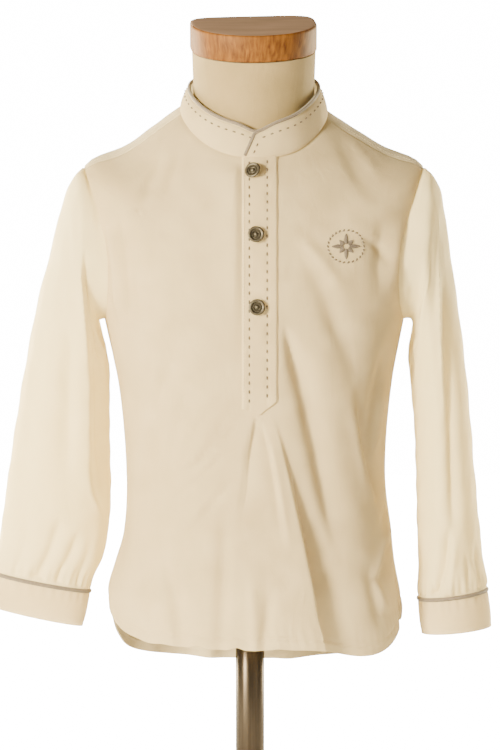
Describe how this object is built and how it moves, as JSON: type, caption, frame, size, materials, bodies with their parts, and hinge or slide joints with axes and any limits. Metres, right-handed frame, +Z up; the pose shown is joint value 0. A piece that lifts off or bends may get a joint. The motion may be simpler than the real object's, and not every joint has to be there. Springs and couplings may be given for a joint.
{
  "type": "long-sleeve shirt on a dress form",
  "caption": "Child's long-sleeve shirt with a band collar, half placket, front pleat and piped cuffs, worn by a limbless dress form with a wooden neck cap on a pole stand.",
  "frame": {"origin": "middle of the stand base's underside, on the pole's axis", "axes": "+Z up along the pole, the shirt's front faces -Y, +X is the viewer's right, which is the wearer's left"},
  "size_m": [0.3942, 0.28, 0.6682],
  "materials": {
    "shirt_cloth": "plain woven cotton, matt",
    "trim": "taupe cotton piping, matt",
    "button_metal": "dark pewter",
    "form_linen": "beige linen cover, matt",
    "cap_wood": "golden brown lacquer",
    "stand_steel": "brown-grey satin"
  },
  "bodies": {
    "root": {"front": "shirt_cloth", "back": "shirt_cloth", "sleeve_left": "shirt_cloth", "sleeve_right": "shirt_cloth", "cuff_left": "shirt_cloth", "cuff_right": "shirt_cloth", "cuff_piping_left": "trim", "cuff_piping_right": "trim", "collar": "shirt_cloth", "collar_piping": "trim", "placket": "shirt_cloth", "placket_under": "shirt_cloth", "button_top": "button_metal", "button_middle": "button_metal", "button_low": "button_metal", "form_body": "form_linen", "neck_cap": "cap_wood", "stand_pole": "stand_steel", "stand_base": "stand_steel"}
  },
  "joints": []
}
